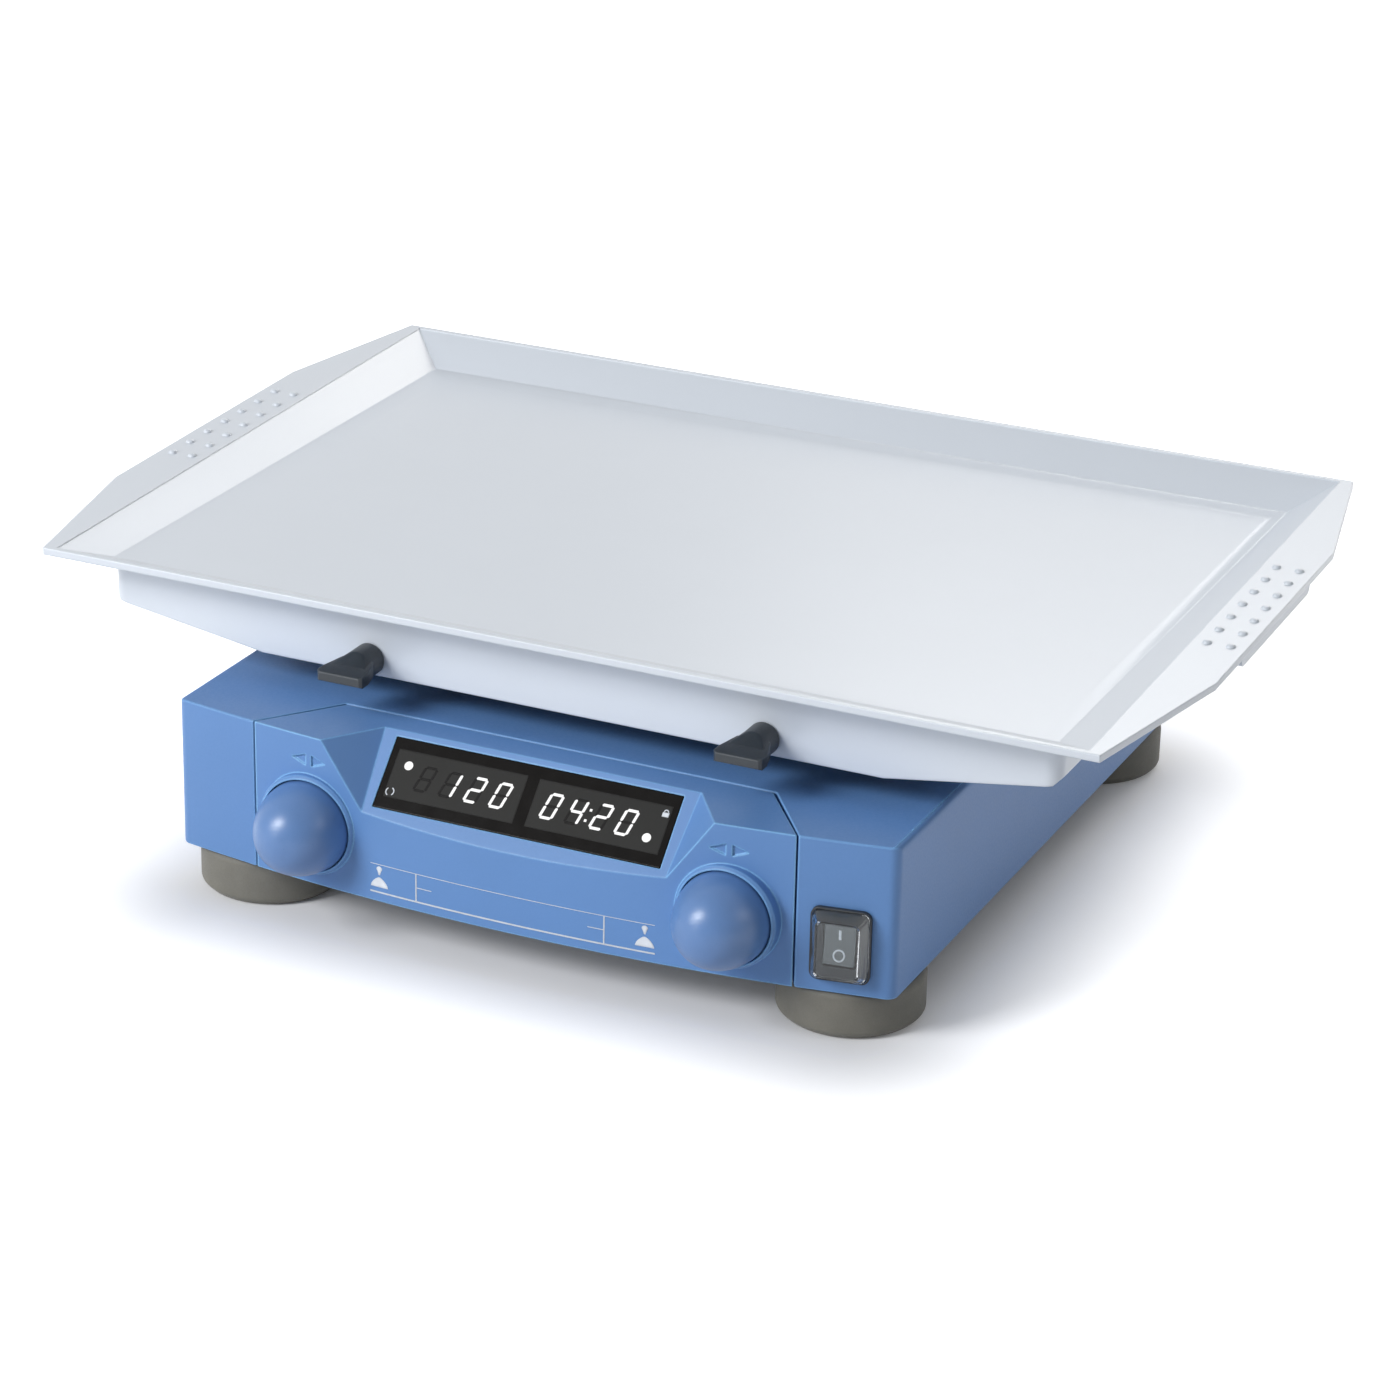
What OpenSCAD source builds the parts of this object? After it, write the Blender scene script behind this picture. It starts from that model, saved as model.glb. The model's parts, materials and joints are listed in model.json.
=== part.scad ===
// Orbital shaker with a lift-off dish tray. Sizes are in millimetres.
// +X points right, +Y back and +Z up. The origin is at the bottom centre of the whole machine.

/* [Housing] */
// Width of the housing
body_w = 270; // [262:1:290]
// Depth of the housing along its straight sides
body_d = 276; // [272:1:290]
// Height of the housing above its own underside
body_h = 54.5; // [53:0.5:60]
// How far the middle of the curved front stands ahead of its corners
front_bow = 12.8; // [11:0.1:15]
// Thickness of the housing's side walls
body_wall = 3; // [2.5:0.1:3.5]
// Thickness of the housing's top
body_top = 3.5; // [3:0.1:4]
// Rounding of the upright corners
corner_r = 4; // [3.2:0.1:6]
// Rounding of the top edges
edge_r = 2.2; // [1.5:0.1:2.8]
// Thickness of the base plate
plate_t = 3; // [2:0.1:3.5]

/* [Feet] */
// Radius of a foot
foot_r = 25.2; // [20:0.1:27]
// Height of a foot
foot_h = 17.2; // [14:0.1:22]
// Distance of the feet to either side of the middle
foot_x = 111; // [95:0.5:112]
// Distance of the feet ahead of and behind the middle
foot_y = 116.6; // [95:0.1:117]

/* [Control panel] */
// Half the panel's width at the front
panel_half = 101.2; // [99.5:0.1:102.5]
// Half the panel's width where it ends on the top
panel_back_half = 80.4; // [74:0.1:90]
// How far the panel runs back over the top, from the middle of the housing
panel_back_y = 116; // [113:0.5:118]
// Width of the seam round the panel
seam_w = 0.8; // [0.4:0.1:1.2]
// Tilt of the display face from level
display_tilt = 46.5; // [43:0.5:49]
// Top edge of the display face, measured forward from the middle of the housing
display_top_y = 127; // [125:0.5:129]
// Half the width of the display face at its top
display_top_half = 59.4; // [57:0.1:62]
// Half the width of the display face at its foot
display_low_half = 57; // [56:0.1:58.5]
// Half the distance between the inner corners of the knob blocks
block_half = 73.4; // [70:0.1:78]
// Width of the display window
window_w = 108; // [100:0.5:110]
// Height of the display window along the slope
window_h = 26.2; // [22:0.1:27]
// Distance of the window below the top edge of the display face
window_set = 2.4; // [2:0.1:3]
// Thickness of the display window
window_t = 1.6; // [1:0.1:2]

/* [Knobs] */
// Distance of a knob to either side of the middle
knob_x = 78.6; // [77:0.1:80]
// Height of the knob's axis above the underside of the housing
knob_up = 22.3; // [20.5:0.1:23]
// Radius of a knob
knob_r = 16.4; // [14:0.1:16.8]
// How far a knob stands out of its collar
knob_len = 21; // [17:0.1:24]
// Outer radius of the collar round a knob
collar_r = 18.3; // [17.8:0.1:19]
// How far a knob travels when it is pressed
push_travel = 1.2; // [0.8:0.1:1.5]
// Radius of the encoder shaft
encoder_shaft_r = 3; // [2.5:0.1:3.2]

/* [Power switch] */
// Distance of the switch to the right of the middle
switch_x = 117; // [116:0.1:118]
// Height of the switch above the underside of the housing
switch_up = 18; // [17:0.1:22]
// Width of the switch bezel
switch_w = 20.4; // [19.5:0.1:21]
// Height of the switch bezel
switch_h = 26; // [25:0.1:27]
// Angle between the switch's two positions
rocker_swing = 16; // [12:0.5:18]

/* [Dish tray] */
// How far the tray and the drive sit behind the middle of the housing
tray_y = 8.5; // [7:0.1:9]
// Half the width of the tray's floor
floor_half_w = 173.5; // [165:0.5:176]
// Half the depth of the tray's floor
floor_half_d = 115.8; // [114:0.1:117]
// Half the width of the tray at the top of its side walls
rim_half_w = 191.7; // [188:0.1:195]
// Half the depth of the tray over its rim
rim_half_d = 134.4; // [132:0.1:138]
// Height of the tray's floor above the ground
floor_z = 106; // [104:0.5:108]
// Height of the rim at the front, above the ground
rim_z = 112.2; // [111:0.1:115]
// How much higher the rim is at the back
rim_rise = 6.2; // [0:0.1:7]
// Thickness of the tray's floor and walls
tray_t = 3; // [2.4:0.1:3.5]
// Thickness of the rim and handles
rim_t = 2.6; // [2.4:0.1:3]
// How far a handle stands out beyond the top of the side wall
handle_w = 18.9; // [14:0.1:24]
// Half the length of a handle's straight edge
handle_half_d = 64; // [50:0.5:80]
// How far the corners of the rim stand out beyond the top of the side wall
tip_w = 4.5; // [3:0.1:7]
// Half the width over the skirt
skirt_half_w = 178; // [172:0.1:181]
// Half the depth over the skirt
skirt_half_d = 119; // [118:0.1:120]
// Thickness of the skirt
skirt_t = 2.5; // [2:0.1:3]
// Height of the skirt's lower edge in the middle, above the ground
skirt_low_z = 82.2; // [80:0.1:83]
// Height of the skirt's lower edge at the sides, above the ground
skirt_side_z = 91; // [86:0.5:94]
// Half the width of the skirt's deep middle part
skirt_deep_half = 117; // [100:0.5:140]
// Distance between neighbouring grip dots along a handle
dot_pitch = 12.4; // [8:0.1:14]
// How far the grip dots sit behind the middle of the handle
grip_back = 4; // [0:0.5:6]

/* [Clamp screws] */
// Distance of a clamp screw to either side of the middle
clamp_x = 74.3; // [50:0.1:90]
// Height of a clamp screw above the ground
clamp_z = 88.2; // [88:0.1:90]
// Radius of a clamp screw's hub
clamp_hub_r = 5.7; // [5:0.1:6]
// Width of a clamp screw's wing
wing_w = 17.4; // [13:0.1:19]
// Thickness of the wing at its front edge
wing_t = 4; // [3:0.1:5]
// How far a clamp screw stands out of the skirt
wing_len = 22.2; // [20:0.1:26]
// How far a clamp screw backs out before it comes free
clamp_travel = 3; // [2:0.1:3.2]

/* [Drive] */
// Radius of the shaking orbit
orbit_r = 2; // [1:0.1:2.4]
// Half the width of the table
table_half_w = 130; // [125:1:140]
// Thickness of the table's top
table_t = 4; // [3:0.1:5]
// Distance of the guide cranks from the sides of the table
guide_side = 35; // [32:0.5:40]
// Distance of the guide cranks ahead of and behind the drive, as a share of half the table's depth
guide_share = 0.69; // [0.66:0.01:0.72]
// Radius of the guide crank pins
crank_pin_r = 4; // [3.5:0.1:4.4]
// Radius of the drive spindle
spindle_r = 8; // [7:0.1:9]
// Radius of the spindle's eccentric pin
drive_pin_r = 6; // [4.5:0.1:6.2]
// Radius of the driven pulley
pulley_r = 38; // [34:0.5:42]
// Radius of the motor pulley
motor_pulley_r = 9; // [8:0.1:12]
// Distance of the motor behind the drive
motor_gap = 86; // [82:0.5:88]
// Radius of the motor
motor_r = 27; // [24:0.5:29]
// Width of the drive belt
belt_w = 7; // [5:0.5:7.5]
// Thickness of the drive belt
belt_t = 1.4; // [1:0.1:2]

/* [Clearances] */
// Running clearance between a pin and its bearing
run_gap = 0.05; // [0.03:0.01:0.08]
// Clearance round a moving piece
move_gap = 0.5; // [0.4:0.05:0.6]
// Clearance between pieces that are put together
fit_gap = 0.2; // [0.1:0.05:0.3]

/* [Hidden] */
$fn = 64;

// Heights and the curve of the front
z0 = foot_h;
z1 = foot_h + body_h;
top_in_z = z1 - body_top;
plate_z = z0 + plate_t;
bow_r = (pow(body_w / 2, 2) + pow(front_bow, 2)) / (2 * front_bow);
bow_y = bow_r - body_d / 2 - front_bow;
far = 400;
cut = 1;

function front_y(x, inset = 0) = bow_y - sqrt(pow(bow_r - inset, 2) - x * x);

// Feet and the screws that hold the housing together
foot_screw_r = 2.5;
foot_well_r = 6;
foot_web = 6;

// Control panel
panel_front_y = front_y(panel_half);
panel_rib = 10;
boss_r = 5;
screw_r = 2;
screw_grip = 8;
screw_hole = 10;
plug_w = 19;
plug_h = 10;
plug_deep = 8;
panel_boss_x = 45;
panel_boss_y = front_y(panel_boss_x, body_wall + boss_r - cut);
panel_boss_h = 14;
display_slope = tan(display_tilt);
window_ledge = 2.5;
board_t = 1.6;
board_post_x = 58;
board_drop = body_wall + 4.4;
board_w = window_w - 2;
board_h = window_h + 4;
digit_h = 5;
control_h = 26;

arrow_up = 45.6;
arrow_w = 5.5;
arrow_h = 4;
arrow_deep = 0.7;

// Knobs, from front to back
knob_z = z0 + knob_up;
collar_y = front_y(0) + 1.2;
collar_depth = 3.2;
collar_back = 7.6;
knob_base_y = collar_y + move_gap;
knob_tip_y = knob_base_y - knob_len;
knob_foot = 1.2;
encoder_size = 14;
encoder_front_y = collar_y + collar_back + fit_gap;
control_board_y = encoder_front_y + 7.6;
slider_r = 5.2;
shaft_back_y = control_board_y - move_gap;
shaft_tip_y = knob_base_y - knob_len * 0.6;

// Switch
switch_z = z0 + switch_up;
switch_turn = asin(switch_x / bow_r);
switch_rim = 1.6;
switch_deep = 20;
switch_cut_w = switch_w - 2.4;
switch_cut_h = switch_h - 2.4;
rocker_side = 10;
rocker_end = 12.6;
rocker_w = switch_w - rocker_side;
rocker_h = switch_h - rocker_end;
rocker_well = 9;
rocker_axis = 2.5;
rocker_pin_r = 1.2;
rocker_front = 5.2;
rocker_dip = 1.3;
rocker_heel = 3.5;
bezel_r = 3;
boot_t = 0.8;
boot_out = 4.8;
boot_edge = 0.5;
boot_taper = 2.2;
tab_w = 0.8;
tab_h = 6;
tab_len = 8;

// Tray, table and clamps
pad_r = 3.6;
pad_t = 2.2;
stud_r = 2.9;
bush_r = 4.2;
bush_flange_r = 5.8;
bush_flange_t = 2.2;
floor_step = 0.3;
handle_half_w = rim_half_w + handle_w;
tip_half_w = rim_half_w + tip_w;
rim_tilt = asin(rim_rise / (2 * rim_half_d));
table_z = floor_z - tray_t;
clamp_room = clamp_travel + pad_t + bush_flange_t + 0.6;
table_half_d = skirt_half_d - skirt_t - clamp_room;
table_wall = 3.5;
table_low_z = clamp_z - 3.7;
rib_t = 3;
rib_h = 10;
rib_gap = 0.4;
rib_drop = 5;
side_rib = table_half_d * 1.1;
back_rib = table_half_w * 0.46;
back_rib_x = table_half_w * 0.54;
finger_t = 2.4;
finger_h = 6;
clamp_front = 0.6;
hub_len = 9;

// Drive train, from the base plate up
bearing_h = 9;
spindle_bearing_r = spindle_r + 8;
pedestal_h = 26;
housing_top_z = plate_z + pedestal_h;
pulley_z = housing_top_z + 1.5;
pulley_h = 10;
belt_z = pulley_z + (pulley_h - belt_w) / 2;
weight_z = pulley_z + pulley_h + 1;
weight_h = 6.5;
weight_r = 42;
weight_hub = 6;
spindle_top_z = weight_z + weight_h;
spindle_head_t = 2.2;
spindle_head_r = drive_pin_r + orbit_r + 2;
drive_pin_top_z = table_z - table_t - 0.5;
hub_bearing_r = drive_pin_r + 7;
crank_bearing_r = crank_pin_r + 5;
bearing_wall = 3;
pillar_r = crank_bearing_r + bearing_wall;
crank_disc_z = z1 + 2.3;
crank_disc_t = 4;
crank_disc_r = crank_pin_r + orbit_r + 3;
seal_t = body_top + 0.6;
guide_x = table_half_w - guide_side;
guide_y = table_half_d * guide_share;
guides = [[-guide_x, -guide_y], [guide_x, -guide_y], [-guide_x, guide_y], [guide_x, guide_y]];
shaft_r = 3;
motor_h = 24;
shaft_seat = 12;
motor_screw_r = 1.6;
base_flange_t = 4;
pedestal_rim = 14;
pedestal_wall = 4;

// Back of the housing
inlet_x = -85;
inlet_up = 27;
inlet_z = z0 + inlet_up;
inlet_w = 27;
inlet_h = 20;
inlet_deep = 24;
inlet_ear_w = 22;
inlet_screw_x = 19.5;
inlet_screw_r = 1.5;
inlet_screw_len = 7;
blade_w = 2;
blade_h = 4;
blade_len = 20;
blade_back = 2;
mouth_deep = 16;
socket_x = 60;
socket_reach = 4;
flange_t = 2;
cover_boss_y = 60;
supply_x = -90;
supply_w = 64;
supply_d = 56;
supply_h = 18;
post_h = 8;
post_r = 3;
pin_pitch = 2.74;
socket_w = 30;
socket_h = 12.5;
shell_w = 16.9;
shell_h = 8.3;
vent_w = 2.4;
vent_h = 18;
vent_pitch = 7;
vent_x = -15;

// The origin lies midway between the knobs' tips and the back of the tray
front_reach = -knob_tip_y;
back_reach = max(tray_y + rim_half_d * cos(rim_tilt), body_d / 2 + flange_t + socket_reach);
base_y = (front_reach - back_reach) / 2;

// Frames
module at_base() {
  translate([0, base_y, 0]) children();
}

module at_drive(z = 0) {
  translate([0, base_y + tray_y, z]) children();
}

module at_motor(z = 0) {
  translate([0, base_y + tray_y + motor_gap, z]) children();
}

// X runs across the display face, Y up its slope and Z out of it
module on_display() {
  translate([0, base_y - display_top_y, z1]) rotate([display_tilt, 0, 0]) children();
}

// X runs across the switch, -Y out of the housing
module at_switch() {
  translate([switch_x, base_y + front_y(switch_x), switch_z])
    rotate([0, 0, switch_turn])
      children();
}

module on_rim() {
  translate([0, base_y + tray_y - rim_half_d, rim_z])
    rotate([rim_tilt, 0, 0])
      translate([0, rim_half_d, 0])
        children();
}

module at_knob(side) {
  translate([side * knob_x, base_y, knob_z]) children();
}

module at_clamp(side) {
  translate([side * clamp_x, base_y + tray_y, clamp_z]) children();
}

// A cylinder that runs along Y from y_from to y_to
module y_rod(r, y_from, y_to, r_to = -1) {
  translate([0, y_from, 0])
    rotate([-90, 0, 0])
      cylinder(h = y_to - y_from, r1 = r, r2 = r_to < 0 ? r : r_to);
}

module ring(r_out, r_in, h) {
  difference() {
    cylinder(h = h, r = r_out);
    translate([0, 0, -cut]) cylinder(h = h + 2 * cut, r = r_in);
  }
}

module rounded_rect(w, d, r) {
  square([w - 2 * r, d], center = true);
  square([w, d - 2 * r], center = true);
  for (x = [-1, 1], y = [-1, 1])
    translate([x * (w / 2 - r), y * (d / 2 - r)]) circle(r = r);
}

// An outline from y = 0 to h whose two top corners are rounded
module top_rounded(w, h, r) {
  translate([-w / 2, 0]) square([w, h - r]);
  translate([-w / 2 + r, 0]) square([w - 2 * r, h]);
  for (x = [-1, 1])
    translate([x * (w / 2 - r), h - r]) circle(r = r);
}

// Pan-head screw that points up from z = 0, head below
module screw(r, len) {
  cylinder(h = len, r = r);
  translate([0, 0, -r * 1.1]) cylinder(h = r * 1.1, r1 = r * 1.5, r2 = r * 1.9);
}

// Outline of the housing seen from above, moved in by inset
module house_plan(inset = 0) {
  w = body_w / 2 - inset;
  r = corner_r - inset / 2;
  back = body_d / 2 - inset;
  bow = bow_r - inset;
  side_y = bow_y - sqrt(pow(bow - r, 2) - pow(w - r, 2));
  tip_x = (w - r) * bow / (bow - r);
  intersection() {
    translate([0, bow_y]) circle(r = bow, $fn = 720);
    translate([-tip_x, -body_d]) square([2 * tip_x, body_d + side_y + r]);
  }
  translate([-w, side_y]) square([2 * w, back - r - side_y]);
  translate([-w + r, side_y]) square([2 * (w - r), back - side_y]);
  for (x = [-1, 1]) {
    translate([x * (w - r), side_y]) circle(r = r);
    translate([x * (w - r), back - r]) circle(r = r);
  }
}

// The whole outer form of the housing, with its top edges rounded
module house_block() {
  translate([0, 0, z0]) intersection() {
    linear_extrude(body_h) house_plan();
    rotate([90, 0, 0])
      linear_extrude(2 * far, center = true) top_rounded(body_w, body_h, edge_r);
    translate([0, -body_d / 2, 0])
      rotate([90, 0, 90])
        linear_extrude(body_w + 2 * cut, center = true) top_rounded(2 * body_d, body_h, edge_r);
    translate([0, bow_y, 0])
      rotate_extrude($fn = 720)
        intersection() {
          top_rounded(2 * bow_r, body_h, edge_r);
          square([bow_r + cut, body_h]);
        }
  }
}

// Outline of the control panel seen from above, moved out by grow
module panel_plan(grow = 0) {
  front = panel_half + grow;
  back = panel_back_half + grow;
  polygon([
    [-front, -far], [-front, panel_front_y], [-back, grow - panel_back_y],
    [back, grow - panel_back_y], [front, panel_front_y], [front, -far]
  ]);
}

// The corner cut out of the panel for the sloping display face, moved in by depth
module display_cut(depth = 0) {
  low_y = front_y(display_low_half);
  top_pt = [display_top_half, -display_top_y, z1];
  foot_pt = [display_low_half, low_y, z1 + (low_y + display_top_y) * display_slope];
  block_pt = [block_half, front_y(block_half), z1];
  shift = depth * [1.2, sin(display_tilt), -cos(display_tilt)];
  spans = [[-0.25, 0], [1.35, 0], [1.35, 2], [-0.25, 2]];
  right = [for (s = spans) top_pt + shift + s[0] * (foot_pt - top_pt) + s[1] * (block_pt - top_pt)];
  left = [for (p = right) [-p[0], p[1], p[2]]];
  polyhedron(
    points = concat(right, left),
    faces = [[0, 1, 2, 3], [7, 6, 5, 4], [0, 4, 5, 1], [3, 2, 6, 7], [0, 3, 7, 4], [1, 5, 6, 2]]
  );
}

// Screw bosses that hang from the top of the cover beside its side walls
module cover_boss_places() {
  for (x = [-1, 1], y = [-1, 1])
    translate([x * (body_w / 2 - body_wall - boss_r), tray_y + y * cover_boss_y, 0]) children();
}

module housing_cover() color("cornflowerblue") {
  difference() {
    at_base() union() {
      difference() {
        house_block();
        translate([0, 0, z0 - cut]) linear_extrude(body_h - body_top + cut) house_plan(body_wall);
      }
      cover_boss_places() translate([0, 0, plate_z]) cylinder(h = top_in_z - plate_z + cut, r = boss_r);
    }
    at_base() {
      translate([0, 0, z0 - cut]) linear_extrude(body_h + 2 * cut) panel_plan(seam_w);
      cover_boss_places() translate([0, 0, plate_z - cut]) cylinder(h = screw_hole, r = screw_r);
      translate([inlet_x, body_d / 2, inlet_z])
        cube([inlet_w + 2 * fit_gap, 4 * body_wall, inlet_h + 2 * fit_gap], center = true);
      for (x = [-1, 1]) translate([inlet_x + x * inlet_screw_x, 0, inlet_z])
        y_rod(inlet_screw_r, body_d / 2 - 2 * body_wall, body_d / 2 + cut);
      translate([socket_x, body_d / 2, inlet_z])
        cube([plug_w + 2 * fit_gap, 4 * body_wall, plug_h + 2 * fit_gap], center = true);
      vent_slots();
    }
    at_drive(top_in_z - cut) {
      cylinder(h = body_top + 2 * cut, r = spindle_bearing_r);
      for (g = guides) translate(g) cylinder(h = body_top + 2 * cut, r = crank_bearing_r);
    }
    at_switch()
      cube([switch_cut_w + 2 * fit_gap, 6 * body_wall, switch_cut_h + 2 * fit_gap], center = true);
  }
}

// Cooling slots in the back wall
module vent_slots() {
  for (i = [-3:3])
    translate([i * vent_pitch + vent_x, body_d / 2, inlet_z])
      rotate([90, 0, 0])
        linear_extrude(4 * body_wall, center = true) rounded_rect(vent_w, vent_h, 0.49 * vent_w);
}

module base_plate() color("gray") {
  difference() {
    union() {
      at_base() translate([0, 0, z0]) linear_extrude(plate_t) house_plan(body_wall + fit_gap);
      at_base() power_board_places() translate([0, 0, plate_z - cut]) cylinder(h = post_h + cut, r = post_r);
    }
    at_base() {
      foot_places() translate([0, 0, z0 - cut])
        cylinder(h = plate_t + 2 * cut, r = foot_screw_r);
      cover_boss_places() translate([0, 0, z0 - cut]) cylinder(h = plate_t + 2 * cut, r = screw_r);
      panel_boss_places() translate([0, 0, z0 - cut]) cylinder(h = plate_t + 2 * cut, r = screw_r);
    }
  }
}

module foot_places() {
  for (x = [-1, 1], y = [-1, 1]) translate([x * foot_x, y * foot_y, 0]) children();
}

// Moulded rubber foot with bevelled ends and a well for its screw
module foot(x, y) {
  sole = 2.2;
  shoulder = 1.6;
  at_base() translate([x * foot_x, y * foot_y, 0]) color("dimgray")
    difference() {
      union() {
        cylinder(h = sole, r1 = foot_r - sole, r2 = foot_r);
        translate([0, 0, sole]) cylinder(h = foot_h - sole - shoulder, r = foot_r);
        translate([0, 0, foot_h - shoulder])
          cylinder(h = shoulder, r1 = foot_r, r2 = foot_r - shoulder);
      }
      translate([0, 0, -cut]) cylinder(h = foot_h + 2 * cut, r = foot_screw_r);
      translate([0, 0, -cut]) cylinder(h = foot_h - foot_web + cut, r = foot_well_r);
    }
}

module front_left_foot() foot(-1, -1);
module front_right_foot() foot(1, -1);
module rear_left_foot() foot(-1, 1);
module rear_right_foot() foot(1, 1);

module foot_screws() color("silver") {
  at_base() foot_places() translate([0, 0, foot_h - foot_web])
    screw(foot_screw_r, foot_web + plate_t + 2);
}

module cover_screws() color("silver") {
  at_base() cover_boss_places() translate([0, 0, z0]) screw(screw_r, plate_t + screw_grip);
}

module panel_boss_places() {
  for (x = [-1, 1]) translate([x * panel_boss_x, panel_boss_y, 0]) children();
}

module panel_screws() color("silver") {
  at_base() panel_boss_places() translate([0, 0, z0]) screw(screw_r, plate_t + screw_grip);
}

// Moulded front panel: bowed face, knob blocks, sloping display face and knob collars
module control_panel() color("cornflowerblue") {
  difference() {
    union() {
      at_base() difference() {
        intersection() {
          house_block();
          translate([0, 0, z0]) linear_extrude(body_h) panel_plan();
        }
        panel_cavity();
      }
      at_base() intersection() {
        house_block();
        translate([0, 0, z0]) linear_extrude(body_h) panel_plan();
        display_cut(body_wall);
      }
      for (side = [-1, 1]) at_knob(side) {
        y_rod(collar_r - 1, collar_y, collar_y + 1, collar_r);
        y_rod(collar_r, collar_y + 1, collar_y + collar_back);
      }
      at_base() panel_boss_places() translate([0, 0, plate_z]) cylinder(h = panel_boss_h, r = boss_r);
      at_base() control_board_places() y_rod(post_r, front_y(board_post_x, body_wall) - 1, control_board_y);
      on_display() display_board_places()
        translate([0, 0, -board_drop]) cylinder(h = board_drop - body_wall + cut, r = 2);
    }
    at_base() display_cut();
    on_display() {
      translate([0, -window_set - window_h / 2, -window_t])
        linear_extrude(2 * window_t) square([window_w, window_h], center = true);
      translate([0, -window_set - window_h / 2, -3 * body_wall])
        linear_extrude(3 * body_wall)
          square([window_w - 2 * window_ledge, window_h - 2 * window_ledge], center = true);
    }
    for (side = [-1, 1]) at_knob(side) {
      y_rod(knob_r + move_gap, collar_y - 3 * collar_back, collar_y + collar_depth);
      y_rod(encoder_shaft_r + move_gap, collar_y, collar_y + 2 * collar_back);
    }
    at_base() panel_boss_places() translate([0, 0, plate_z - cut]) cylinder(h = screw_hole, r = screw_r);
    arrow_marks();
  }
}

// Two sunk triangles above each knob that point left and right
module arrow_marks() {
  for (side = [-1, 1], way = [-1, 1])
    translate([side * knob_x, base_y + front_y(knob_x), z0 + arrow_up])
      rotate([90, 0, side * asin(knob_x / bow_r)])
        linear_extrude(2 * arrow_deep, center = true)
          polygon([[way * 1.2, -arrow_h / 2], [way * (1.2 + arrow_w), 0], [way * 1.2, arrow_h / 2]]);
}

// Room inside the panel, open below and through most of its back
module panel_cavity() {
  translate([0, 0, z0 - cut]) linear_extrude(body_h - body_top + cut)
    intersection() {
      house_plan(body_wall);
      panel_plan(-body_wall);
    }
  translate([0, 0, z0 - cut]) linear_extrude(plate_t + fit_gap + cut) house_plan(body_wall);
  translate([0, -panel_back_y, z0 + (body_h - panel_rib) / 2])
    cube([2 * (panel_back_half - body_wall), 4 * body_wall, body_h - panel_rib], center = true);
}

module control_board_places() {
  for (x = [-1, 1]) translate([x * board_post_x, 0, z0 + 9]) children();
}

module display_board_places() {
  for (x = [-1, 1], y = [2, -window_h - 2])
    translate([x * (board_w / 2 - 4), y - window_set, 0]) children();
}

module display_window() color("black") {
  on_display() translate([0, -window_set - window_h / 2, -window_t])
    linear_extrude(window_t)
      square([window_w - fit_gap, window_h - fit_gap], center = true);
}

module display_board() color("darkgreen") {
  on_display() translate([0, -window_set - window_h / 2, -board_drop - board_t])
    linear_extrude(board_t) square([board_w, board_h + 4], center = true);
}

// One block of numerals each side of the middle
module digit_modules() color("black") {
  on_display() for (x = [-1, 1])
    translate([x * window_w / 4, -window_set - window_h / 2, -board_drop])
      linear_extrude(digit_h) square([window_w / 2 - 9, window_h - 2 * window_ledge - 3], center = true);
}

module control_board() color("darkgreen") {
  at_base() translate([0, control_board_y + board_t / 2, plate_z + 1 + control_h / 2])
    cube([2 * knob_x + encoder_size + 3, board_t, control_h], center = true);
}

// Supply board with its transformer, capacitors and heat sink
module power_board() color("darkgreen") {
  at_base() translate([supply_x, tray_y, plate_z + post_h]) {
    translate([-supply_w / 2, -supply_d / 2, 0]) cube([supply_w, supply_d, board_t]);
    translate([-supply_w * 0.4, -supply_d * 0.4, 0]) cube([supply_w / 3, supply_d * 0.45, supply_h * 0.9]);
    translate([supply_w * 0.16, -supply_d / 4, 0]) cylinder(h = supply_h, r = supply_h / 3);
    translate([supply_w * 0.38, -supply_d / 4, 0]) cylinder(h = supply_h * 0.8, r = supply_h / 4);
    translate([-supply_w * 0.44, supply_d * 0.2, 0]) cube([supply_w / 2, supply_d / 9, supply_h]);
  }
}

module power_board_places() {
  for (x = [-1, 1], y = [-1, 1])
    translate([supply_x + x * (supply_w / 2 - post_r), tray_y + y * (supply_d / 2 - post_r), 0]) children();
}

module encoder(side) {
  at_knob(side) color("black") difference() {
    translate([-encoder_size / 2, encoder_front_y, -encoder_size / 2])
      cube([encoder_size, control_board_y - encoder_front_y, encoder_size]);
    y_rod(slider_r + run_gap, encoder_front_y - cut, control_board_y - 1);
  }
}

// Ring that is pushed in with the knob and doesn't turn with it
module push_slider(side) {
  at_knob(side) color("ivory") difference() {
    y_rod(slider_r, encoder_front_y + 1, control_board_y - 1 - push_travel - fit_gap);
    y_rod(encoder_shaft_r + run_gap, encoder_front_y, control_board_y);
  }
}

module encoder_shaft(side) {
  at_knob(side) color("silver")
    y_rod(encoder_shaft_r, shaft_tip_y, control_board_y - 1 - push_travel - fit_gap);
}

// Domed knob, bored for its shaft
module knob(side) {
  at_knob(side) color("royalblue") difference() {
    translate([0, knob_base_y, 0]) rotate([90, 0, 0]) union() {
      intersection() {
        rotate_extrude() dome_half();
        cylinder(h = knob_len, r = knob_r);
      }
      translate([0, 0, -knob_foot]) cylinder(h = knob_foot, r = knob_r);
    }
    y_rod(encoder_shaft_r, shaft_tip_y, knob_base_y + 2 * knob_foot);
    y_rod(knob_r - 3, knob_base_y - 1, knob_base_y + 2 * knob_foot);
  }
}

// Half outline of the dome: a short straight side, a large arc and a small round nose
module dome_half() {
  nose_r = knob_r * 0.82;
  side_h = knob_len - nose_r;
  intersection() {
    union() {
      translate([0, knob_len - nose_r]) circle(r = nose_r);
      polygon([for (a = [0:6:90]) [
        knob_r * pow(cos(a), 0.85), knob_len * 0.985 * pow(sin(a), 1.02)
      ], [0, 0]]);
    }
    square([knob_r, knob_len]);
  }
}

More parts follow.
